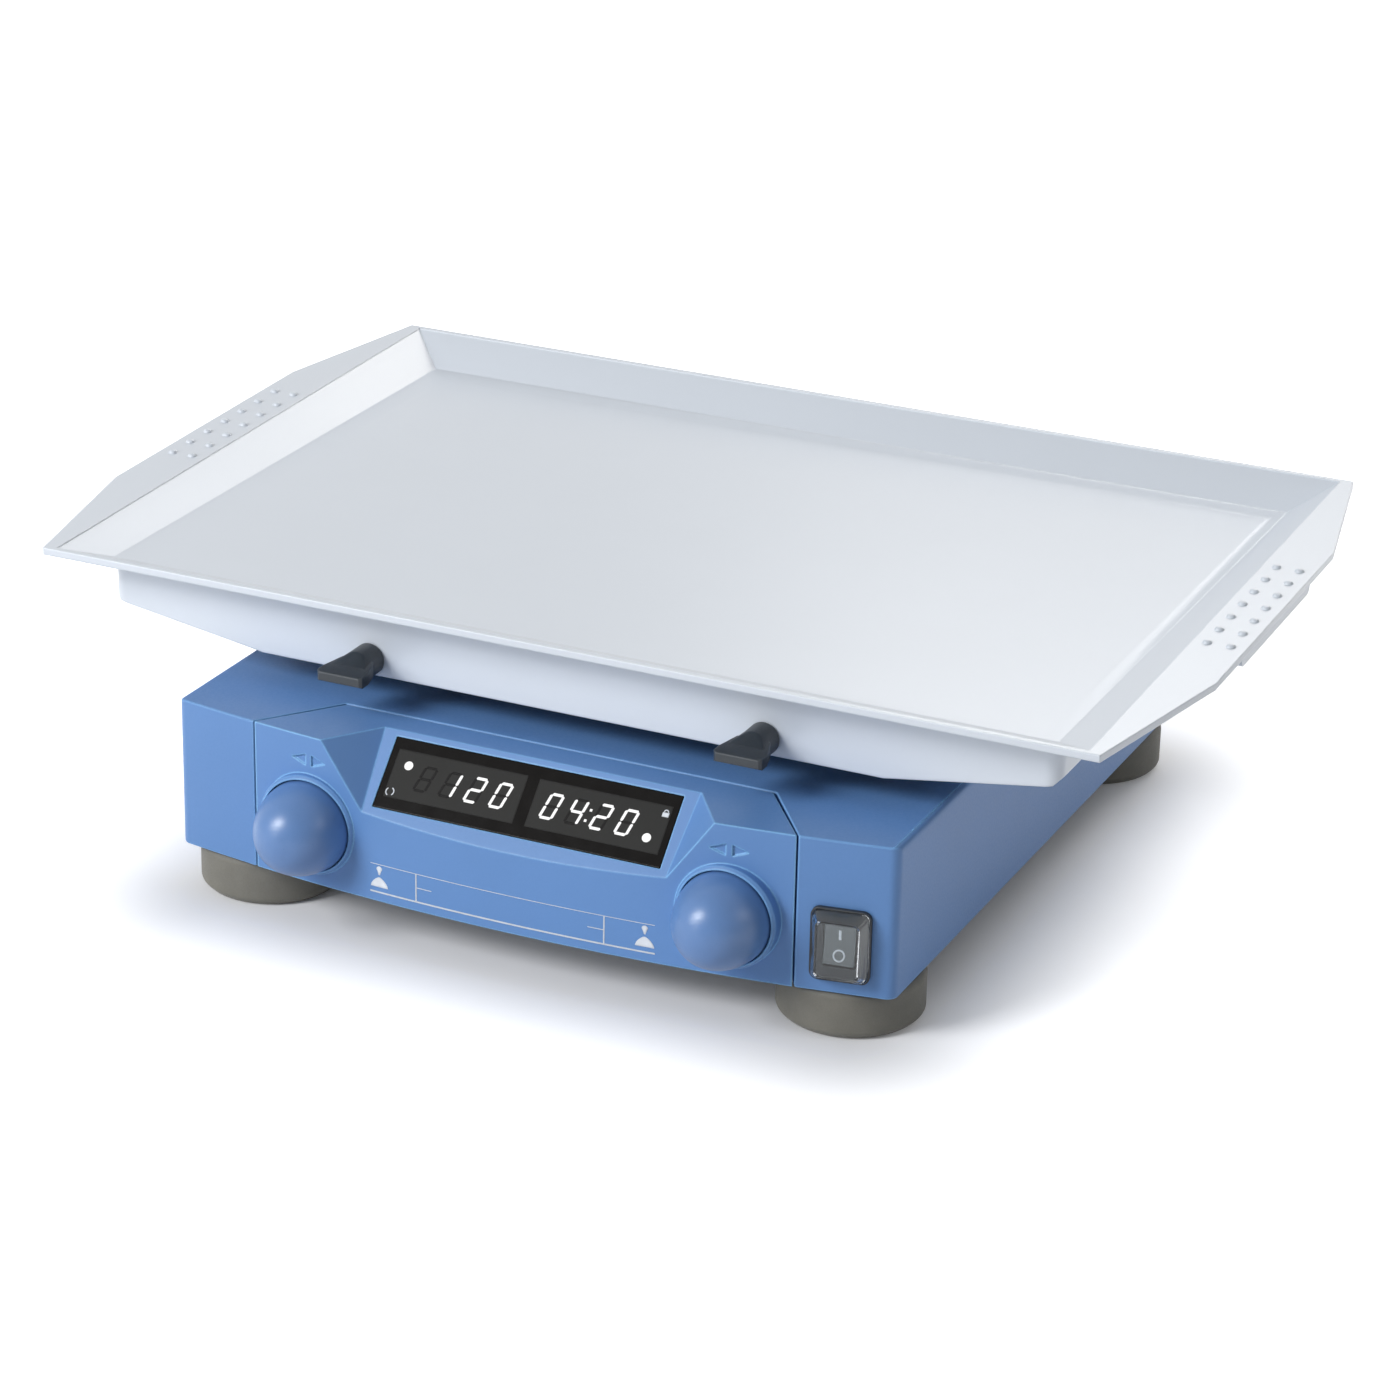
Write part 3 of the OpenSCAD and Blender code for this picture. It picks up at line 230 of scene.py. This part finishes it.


# For each material slot: name, colour, roughness, the grain's size and height in millimetres, how far the
# colour varies, and the size of its patches in millimetres; edge lightens the edges as a painted highlight
FINISH = {
    "blue_housing": finish("painted_blue", "628CC4", 0.40, 0.9, 0.008, 0.03, 60, edge=2.3,
                           specular=0.4, ease_mm=0.9),
    "blue_panel": finish("moulded_blue", "638EC7", 0.40, 0.7, 0.006, 0.025, 50, edge=2.4,
                         specular=0.4, ease_mm=0.9),
    "blue_knob": finish("satin_blue", "5C83BA", 0.32, 0.35, 0.006, 0.03, 12, edge=1.4,
                        specular=0.65, ease_mm=0.8),
    "white_tray": finish("tray_white", "D7DEE7", 0.30, 1.4, 0.0015, 0.007, 45, edge=1.2, coat=0.2,
                         coat_rough=0.25, specular=0.55, ease_mm=0.9, gloss_spread=(0.97, 1.04)),
    "grey_rubber": finish("foot_rubber", "7B7971", 0.62, 0.5, 0.03, 0.07, 9, edge=1.25,
                          specular=0.25, sheen=0.1),
    "black_rubber": finish("seal_rubber", "262626", 0.6, 0.4, 0.03, 0.10, 8, specular=0.3),
    "dark_window": finish("dark_glazing", "100E0D", 0.16, 6.0, 0.002, 0.05, 30, specular=0.1),
    "black_plastic": finish("black_moulding", "24272B", 0.42, 0.3, 0.02, 0.08, 9, edge=1.9),
    "wing_plastic": finish("wing_moulding", "2C3238", 0.4, 0.3, 0.02, 0.08, 9, edge=1.9),
    "grey_plastic": finish("rocker_grey", "666B6E", 0.4, 0.3, 0.01, 0.05, 9, edge=1.3),
    "clear_boot": clear_finish("clear_boot", "E6EAEC", 0.05),
    "ivory_plastic": finish("ivory_moulding", "D9D2BF", 0.45, 0.4, 0.01, 0.04, 9, edge=1.05),
    "circuit_board": finish("board_green", "1F5136", 0.45, 1.2, 0.03, 0.18, 7),
    "zinc_steel": finish("zinc_plated", "A9ACB0", 0.34, 0.6, 0.006, 0.10, 20, metallic=1.0, edge=1.2),
    "bright_steel": finish("turned_steel", "BFC2C6", 0.2, 0.25, 0.004, 0.06, 15, metallic=1.0,
                           edge=1.1, stretch=(1, 1, 6)),
    "cast_aluminium": finish("cast_aluminium", "A6A8AA", 0.46, 0.7, 0.04, 0.10, 16, metallic=0.9,
                             edge=1.25),
    "brass": finish("turned_brass", "B8944A", 0.26, 0.3, 0.005, 0.08, 6, metallic=1.0, edge=1.2),
    "belt_rubber": finish("belt_rubber", "1E1E1F", 0.7, 0.8, 0.05, 0.10, 8, specular=0.3),
    "dark_iron": finish("phosphated_iron", "4B4C50", 0.5, 0.5, 0.02, 0.15, 10, metallic=0.8, edge=1.5),
}
LIT = glow_finish("lit_segment", "FFFFFF", 1.0)
UNLIT = finish("unlit_segment", "171616", 0.35, 0.5, 0.002, 0.05, 10, specular=0.1)
PANEL_GREY = finish("display_grey", "2B2B2A", 0.35, 0.5, 0.002, 0.04, 12, specular=0.1)
INK = finish("white_ink", "E8EDF4", 0.5, 0.25, 0.006, 0.05, 3, specular=0.3)


# CAD nodes
FEET = ["front_left_foot", "front_right_foot", "rear_left_foot", "rear_right_foot"]
# Nodes whose edges are rounded by modifiers: the width in millimetres and the number of steps.
# On the tray only the four folds inside it are rounded.
ROUNDED = {
    "housing_cover": (0.5, 2), "control_panel": (0.15, 2), "display_window": (0.15, 2),
    "left_knob": (0.35, 2), "right_knob": (0.35, 2), "dish_tray": (3.5, 5),
    "left_clamp_screw": (0.6, 3), "right_clamp_screw": (0.6, 3), "switch_body": (0.5, 3),
    "switch_boot": (0.5, 3), "switch_rocker": (0.35, 2), "power_inlet": (0.5, 2),
    "interface_socket": (0.3, 2), "table": (0.6, 2), "base_plate": (0.3, 2), "motor_case": (0.6, 2),
    **{foot: (0.9, 3) for foot in FEET},
}
# Here the width isn't cut to what fits between neighbouring edges, as it is elsewhere. On the back wall of
# housing_cover it doesn't fit, and creases the wall.
FULLY_ROUNDED = {"housing_cover", "control_panel", "dish_tray", "table", "base_plate", *FEET}
SMOOTH_BELOW = math.radians(28)
# The tray's long walls are twisted a little, and its floor meets them at a shallow angle
TRAY_SMOOTH_BELOW = math.radians(16.5)
WELD_WITHIN = 2e-6
# The folds between the tray's floor and walls: how long they are at least, and how high at most
FOLD_LONG, FOLD_UNDER = 40.0, 107.5


def dress_nodes():
    slots = {row["node"]: row["material_slot"] for row in frame["record"]["subparts"]}
    for name, obj in nodes.items():
        mesh = obj.data
        mesh.materials.clear()
        mesh.materials.append(FINISH[slots[name]])
        for face in mesh.polygons:
            face.use_smooth = True
        smooth_below = TRAY_SMOOTH_BELOW if name == "dish_tray" else SMOOTH_BELOW
        if name in ROUNDED:
            round_edges(obj, smooth_below, *ROUNDED[name])
        else:
            mesh.set_sharp_from_angle(angle=smooth_below)


def round_edges(obj, smooth_below, width, steps):
    """Rounds the node's edges with modifiers. The frame keeps a node's faces apart, with their own normals
    and sharp marks, so those go and the faces are joined first. The mesh's own vertices stay."""
    mesh = obj.data
    for key in ("custom_normal", "sharp_edge"):
        if key in mesh.attributes:
            mesh.attributes.remove(mesh.attributes[key])
    weld = obj.modifiers.new("joined_faces", "WELD")
    weld.merge_threshold = WELD_WITHIN
    bevel = obj.modifiers.new("rounding", "BEVEL")
    bevel.width = width * MM
    bevel.segments = steps
    bevel.limit_method = "ANGLE"
    bevel.angle_limit = smooth_below
    bevel.harden_normals = True
    bevel.use_clamp_overlap = obj.name not in FULLY_ROUNDED
    if obj.name == "dish_tray":
        weigh_folds(mesh)
        bevel.limit_method = "WEIGHT"


def weigh_folds(mesh):
    """Marks the four folds between the tray's floor and walls to be rounded, and its other edges that
    turn as sharp. An edge is there once for each of its faces, and those are found by its ends."""
    corners = [tuple(vertex.co) for vertex in mesh.vertices]
    beside = {}
    for face in mesh.polygons:
        for pair in face.edge_keys:
            beside.setdefault(frozenset(corners[i] for i in pair), []).append(face.normal.copy())
    weights = mesh.attributes.new("bevel_weight_edge", "FLOAT", "EDGE")
    for edge in mesh.edges:
        ends = [corners[i] for i in edge.vertices]
        normals = beside[frozenset(ends)]
        first, second = normals[0], normals[-1]
        turns = first.angle(second) > TRAY_SMOOTH_BELOW
        is_long = math.dist(*ends) > FOLD_LONG * MM
        is_low = max(z for _, _, z in ends) < FOLD_UNDER * MM
        if turns and is_long and is_low and min(first.z, second.z) > 0:
            weights.data[edge.index].value = 1.0
        else:
            edge.use_edge_sharp = turns


dress_nodes()


# Flat marks

# Heights of their backs and faces over the surface that carries them
FIELD_DEPTH, UNLIT_DEPTH, LIT_DEPTH = (-0.05, 0.02), (0.0, 0.03), (0.0, 0.05)
PRINT_DEPTH, SWITCH_DEPTH = (-0.03, 0.05), (-0.05, 0.06)


def band(name, ribbons, place, depth, material, body):
    """One piece made of thin solids. A ribbon is two rows of points in the plane that place() maps to
    the object, and depth is the heights of its back and face over that plane."""
    low, high = depth
    verts, faces = [], []
    for near, far in ribbons:
        base = len(verts)
        last = len(near) - 1
        closed = near[0] == near[-1]
        for a, b in zip(near, far):
            verts += [place(*a, low), place(*a, high), place(*b, low), place(*b, high)]
        for i in range(last):
            here = base + 4 * i
            after = base if closed and i == last - 1 else here + 4
            faces += [(here + 1, here + 3, after + 3, after + 1), (here, after, after + 2, here + 2)]
            faces += [(here, here + 1, after + 1, after), (here + 2, after + 2, after + 3, here + 3)]
        if closed:
            del verts[-4:]
        else:
            end = base + 4 * last
            faces += [(base, base + 2, base + 3, base + 1), (end, end + 1, end + 3, end + 2)]
    mesh = bpy.data.meshes.new(name)
    mesh.from_pydata([Vector(v) * MM for v in verts], [], faces)
    mesh.validate()
    obj = bpy.data.objects.new(name, mesh)
    bpy.context.scene.collection.objects.link(obj)
    mesh.materials.append(material)
    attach(obj, body)


def bar(x0, x1, y0, y1, steps=1):
    xs = [x0 + (x1 - x0) * i / steps for i in range(steps + 1)]
    return [(x, y0) for x in xs], [(x, y1) for x in xs]


def arc(cx, cy, inner, outer, start, end, steps):
    """A stretch of a ring. Where it goes all round, rounding makes its two ends one point."""
    angles = [math.radians(start + (end - start) * i / steps) for i in range(steps + 1)]
    return [[(round(cx + r * math.cos(a), 6), round(cy + r * math.sin(a), 6)) for a in angles]
            for r in (inner, outer)]


def disc(cx, cy, radius, steps=12, reach=88):
    """A disc as a ribbon between its left and right halves, which end just short of its top and foot."""
    angles = [math.radians(2 * reach * i / steps - reach) for i in range(steps + 1)]
    left = [(cx - radius * math.cos(a), cy + radius * math.sin(a)) for a in angles]
    right = [(cx + radius * math.cos(a), cy + radius * math.sin(a)) for a in angles]
    return left, right


# Display face, as in the part's source: u runs across it, v up its slope from its top edge
DISPLAY_TOP_Y, DISPLAY_TOP_Z = -113.95, 71.7
DISPLAY_TILT = math.radians(46.5)
# The two grey fields of the window: left, right, foot and top
FIELDS = [(-51.4, -2.2, -24.2, -6.5), (2.2, 51.6, -24.2, -6.8)]
DIGIT_W, DIGIT_H, DIGIT_TOP = 5.3, 9.65, -10.65
SLANT = math.tan(math.radians(12.8))
# A stroke's width, its clearance to the next, and the length and half width of its pointed ends
STROKE, STROKE_GAP, NOSE, TIP = 1.0, 0.16, 0.32, 0.12
SEGMENTS = {"0": "abcdef", "1": "bc", "2": "abged", "4": "fgbc", " ": ""}
DIGITS = [(-39.8, " "), (-30.24, "1"), (-20.68, "2"), (-11.12, "0"),
          (7.93, "0"), (17.2, "4"), (26.47, "2"), (35.74, "0")]
COLON, COLON_HALF = [(23.64, -13.9), (22.81, -17.82)], 0.45
LEDS, LED_R = [(-45.95, -11.91), (45.85, -19.18)], 1.6
LOCK_AT, ARROWS_AT = (49.75, -9.9), (-49.46, -22.11)


def on_display(u, v, out):
    return (u,
            DISPLAY_TOP_Y + v * math.cos(DISPLAY_TILT) - out * math.sin(DISPLAY_TILT),
            DISPLAY_TOP_Z + v * math.sin(DISPLAY_TILT) + out * math.cos(DISPLAY_TILT))


def segment(key, left):
    """One stroke of a seven-segment numeral whose top left corner is at left."""
    w, h, half = DIGIT_W, DIGIT_H, STROKE / 2
    start = half + STROKE_GAP
    level = {"a": h - half, "g": h / 2, "d": half}
    if key in level:
        y, x0, x1 = level[key], start, w - start
        near = [(x0, y - TIP), (x0 + NOSE, y - half), (x1 - NOSE, y - half), (x1, y - TIP)]
        far = [(x, 2 * y - t) for x, t in near]
    else:
        x = w - half if key in "bc" else half
        y0, y1 = (h / 2 + STROKE_GAP, h - start) if key in "bf" else (start, h / 2 - STROKE_GAP)
        near = [(x - TIP, y0), (x - half, y0 + NOSE), (x - half, y1 - NOSE), (x - TIP, y1)]
        far = [(2 * x - t, y) for t, y in near]
    return [[(left + x + SLANT * (y - h), DIGIT_TOP - h + y) for x, y in row] for row in (near, far)]


def padlock(x, y):
    half, foot, top = 1.2, 1.0, 0.6
    inner, outer, rise = 0.55, 0.95, 0.7
    return [bar(x - half, x + half, y - foot, y + top), arc(x, y + rise, inner, outer, 0, 180, 12)]


def turning_arrows(x, y):
    inner, outer = 1.25, 1.65
    return [arc(x, y, inner, outer, start, start + 120, 10) for start in (-50, 130)]


def add_display():
    band("display_fields", [bar(*field) for field in FIELDS],
         on_display, FIELD_DEPTH, PANEL_GREY, "root")
    lit, unlit = [], []
    for left, digit in DIGITS:
        for key in "abcdefg":
            (lit if key in SEGMENTS[digit] else unlit).append(segment(key, left))
    lit += [bar(x - COLON_HALF, x + COLON_HALF, y - COLON_HALF, y + COLON_HALF) for x, y in COLON]
    lit += [disc(x, y, LED_R) for x, y in LEDS]
    band("display_unlit_segments", unlit, on_display, UNLIT_DEPTH, UNLIT, "root")
    band("display_lit_segments", lit, on_display, LIT_DEPTH, LIT, "root")
    icons = padlock(*LOCK_AT) + turning_arrows(*ARROWS_AT)
    band("display_icons", icons, on_display, LIT_DEPTH, INK, "root")


# Curved front face, as in the part's source: x across it, z up
BOW_R, BOW_Y = 718.31, 580.56
# Its long lines: half length, foot and top
LONG_LINES = [(53.7, 20.4, 21.0), (53.5, 30.95, 31.2)]
LINE_STEPS, TICK_STEPS = 36, 3
# An upright on each side, a tick from it towards the middle, and two marks outside it
UPRIGHT_X, UPRIGHT_HALF, UPRIGHT_Z = 35.4, 0.25, (20.9, 31.0)
TICK_END, TICK_Z = 29.4, (25.8, 26.1)
MARK_X, DOME_Z, DROP_Z = 50.0, 22.6, 27.2
# Height and half width along the drop
DROP = [(0.0, 0.3), (0.6, 0.45), (1.4, 0.75), (2.0, 1.1), (2.5, 1.1), (2.9, 0.8), (3.2, 0.3)]


def on_front(x, z, out):
    reach = BOW_R + out
    angle = math.asin(x / BOW_R)
    return (reach * math.sin(angle), BOW_Y - reach * math.cos(angle), z)


def dome_mark(x, z):
    half, high, rows, least = 3.2, 3.7, 10, 0.25
    crown, flank = 1.7, 0.8
    near, far = [], []
    for i in range(rows + 1):
        t = i / rows
        w = half * (1 - t ** crown) ** flank + least
        near.append((x - w, z + high * t))
        far.append((x + w, z + high * t))
    return near, far


def drop_mark(x, z):
    return [(x - w, z + t) for t, w in DROP], [(x + w, z + t) for t, w in DROP]


def add_print():
    lines = [bar(-half, half, foot, top, LINE_STEPS) for half, foot, top in LONG_LINES]
    for side in (-1, 1):
        x = side * UPRIGHT_X
        lines += [bar(x - UPRIGHT_HALF, x + UPRIGHT_HALF, *UPRIGHT_Z)]
        lines += [bar(*sorted((x, side * TICK_END)), *TICK_Z, TICK_STEPS)]
        lines += [dome_mark(side * MARK_X, DOME_Z), drop_mark(side * MARK_X, DROP_Z)]
    band("front_print", lines, on_front, PRINT_DEPTH, INK, "root")


add_display()
add_print()


# Switch marks
SWITCH_AT = Vector((117.0, -128.16, 35.2))
SWITCH_TURN = math.asin(SWITCH_AT.x / BOW_R)
ROCKER_AXIS, ROCKER_TILT = 2.5, math.radians(-8)
# The rocker's face: how far its middle stands before the axis, how much further its ends stand, and half
# its height
ROCKER_MIDDLE, ROCKER_DIP, ROCKER_HALF = 3.9, 1.3, 6.7
ON_HALF, ON_Z, ON_STEPS = 0.45, (1.7, 5.2), 4
OFF_Z, OFF_INNER, OFF_OUTER, OFF_STEPS = -3.6, 1.5, 2.1, 24


def on_rocker(x, z, out):
    """Maps a point of the rocker's two sloping faces to the object."""
    y = -ROCKER_MIDDLE - abs(z) * ROCKER_DIP / ROCKER_HALF - out
    turned = Matrix.Rotation(ROCKER_TILT, 4, "X") @ Vector((x, y, z))
    turned.y += ROCKER_AXIS
    return tuple(SWITCH_AT + Matrix.Rotation(SWITCH_TURN, 4, "Z") @ turned)


def add_switch_marks():
    marks = {
        "switch_on_mark": bar(-ON_HALF, ON_HALF, *ON_Z, ON_STEPS),
        "switch_off_mark": arc(0, OFF_Z, OFF_INNER, OFF_OUTER, 0, 360, OFF_STEPS),
    }
    for name, ribbon in marks.items():
        band(name, [ribbon], on_rocker, SWITCH_DEPTH, INK, "rocker")


add_switch_marks()


# Studio, in metres
FLOOR_HALF = 6.0
# Half size of the floor's painted shadow round the object, width of the fade round it, and the glow inside
# and outside
PAINTED_SHADOW_HALF = (0.115, 0.12, 0.0)
PAINTED_SHADOW_FADE = 0.09
LIFT_NEAR, LIFT_FAR = 0.02, 0.88
AMBIENT, AMBIENT_COLOUR = 0.16, (0.96, 0.98, 1.0, 1)
FULL_WHITE = (1, 1, 1, 1)
WHITE, WARM = (1.0, 1.0, 1.0), (1.0, 0.965, 0.92)
# Name, place, watts and colour
LAMPS = [
    ("front_left", (-1.0, -1.65, 1.45), 28.0, WHITE),
    ("front_low", (-1.2, -1.6, 0.9), 14.0, WHITE),
    ("rear_left", (-0.32, 1.7, 1.35), 8.0, WHITE),
    ("rear_right", (0.35, 1.7, 1.1), 9.5, WARM),
    ("right", (1.8, 0.2, 1.0), 2.8, WHITE),
]
LAMP_SIZE = 0.8
LAMP_AIM = Vector((0, 0, 0.06))


def seen_rays(tree):
    """1 for rays from the camera and those seen in gloss or through glass."""
    path = tree.add("ShaderNodeLightPath")
    total = path.outputs["Is Camera Ray"]
    for key in ("Is Glossy Ray", "Is Transmission Ray"):
        node = tree.add("ShaderNodeMath", operation="MAXIMUM")
        tree.link(total, node.inputs[0])
        tree.link(path.outputs[key], node.inputs[1])
        total = node.outputs[0]
    return total


def floor_lift(tree):
    """Glow of the floor: low beside the object, which paints a shadow there on top of the lamps' own, and
    full away from it.
    """
    place = tree.add("ShaderNodeNewGeometry").outputs["Position"]
    steps = [("ABSOLUTE", None), ("SUBTRACT", PAINTED_SHADOW_HALF), ("MAXIMUM", (0, 0, 0)),
             ("MULTIPLY", (1, 1, 0)), ("LENGTH", None)]
    for operation, other in steps:
        node = tree.add("ShaderNodeVectorMath", operation=operation)
        tree.link(place, node.inputs[0])
        if other is not None:
            node.inputs[1].default_value = other
        place = node.outputs["Value" if operation == "LENGTH" else "Vector"]
    ramp = tree.add("ShaderNodeMapRange", interpolation_type="SMOOTHSTEP")
    ramp.inputs["From Max"].default_value = PAINTED_SHADOW_FADE
    ramp.inputs["To Min"].default_value = LIFT_NEAR
    ramp.inputs["To Max"].default_value = LIFT_FAR
    tree.link(place, ramp.inputs["Value"])
    return ramp.outputs["Result"]


def add_floor():
    """A pale floor that keeps the object's shadow, with a glow that makes it white away from the object and
    leaves a painted shadow beside it.
    """
    half = FLOOR_HALF
    corners = [(-half, -half, 0), (half, -half, 0), (half, half, 0), (-half, half, 0)]
    mesh = bpy.data.meshes.new("floor")
    mesh.from_pydata(corners, [], [(0, 1, 2, 3)])
    floor = bpy.data.objects.new("floor", mesh)
    bpy.context.scene.collection.objects.link(floor)
    graph = Graph("floor")
    graph.set(Base_Color=linear("ECEDF0"), Roughness=0.9, Specular_IOR_Level=0.0)
    lift = graph.add("ShaderNodeMath", operation="MULTIPLY")
    graph.link(seen_rays(graph), lift.inputs[0])
    graph.link(floor_lift(graph), lift.inputs[1])
    glow = graph.add("ShaderNodeEmission")
    glow.inputs["Color"].default_value = FULL_WHITE
    graph.link(lift.outputs[0], glow.inputs["Strength"])
    both = graph.add("ShaderNodeAddShader")
    graph.link(graph.shader.outputs[0], both.inputs[0])
    graph.link(glow.outputs[0], both.inputs[1])
    graph.link(both.outputs[0], graph.nodes["Material Output"].inputs["Surface"])
    mesh.materials.append(graph.material)


def add_world():
    """A faint even light on the object, and a background that is seen as white."""
    world = bpy.data.worlds.new("studio")
    bpy.context.scene.world = world
    world.use_nodes = True
    tree = Tree(world.node_tree)
    light = tree.nodes["Background"]
    light.inputs["Color"].default_value = AMBIENT_COLOUR
    light.inputs["Strength"].default_value = AMBIENT
    white = tree.add("ShaderNodeBackground")
    white.inputs["Color"].default_value = FULL_WHITE
    mix = tree.add("ShaderNodeMixShader")
    tree.link(seen_rays(tree), mix.inputs["Fac"])
    tree.link(light.outputs[0], mix.inputs[1])
    tree.link(white.outputs[0], mix.inputs[2])
    tree.link(mix.outputs[0], tree.nodes["World Output"].inputs["Surface"])


def add_lamps():
    for name, place, watts, colour in LAMPS:
        data = bpy.data.lights.new(name, "AREA")
        data.shape = "SQUARE"
        data.size = LAMP_SIZE
        data.energy = watts
        data.color = colour
        lamp = bpy.data.objects.new(name, data)
        lamp.location = place
        lamp.rotation_euler = (LAMP_AIM - Vector(place)).to_track_quat("-Z", "Y").to_euler()
        bpy.context.scene.collection.objects.link(lamp)


add_floor()
add_world()
add_lamps()
bpy.context.scene.view_settings.view_transform = "Standard"
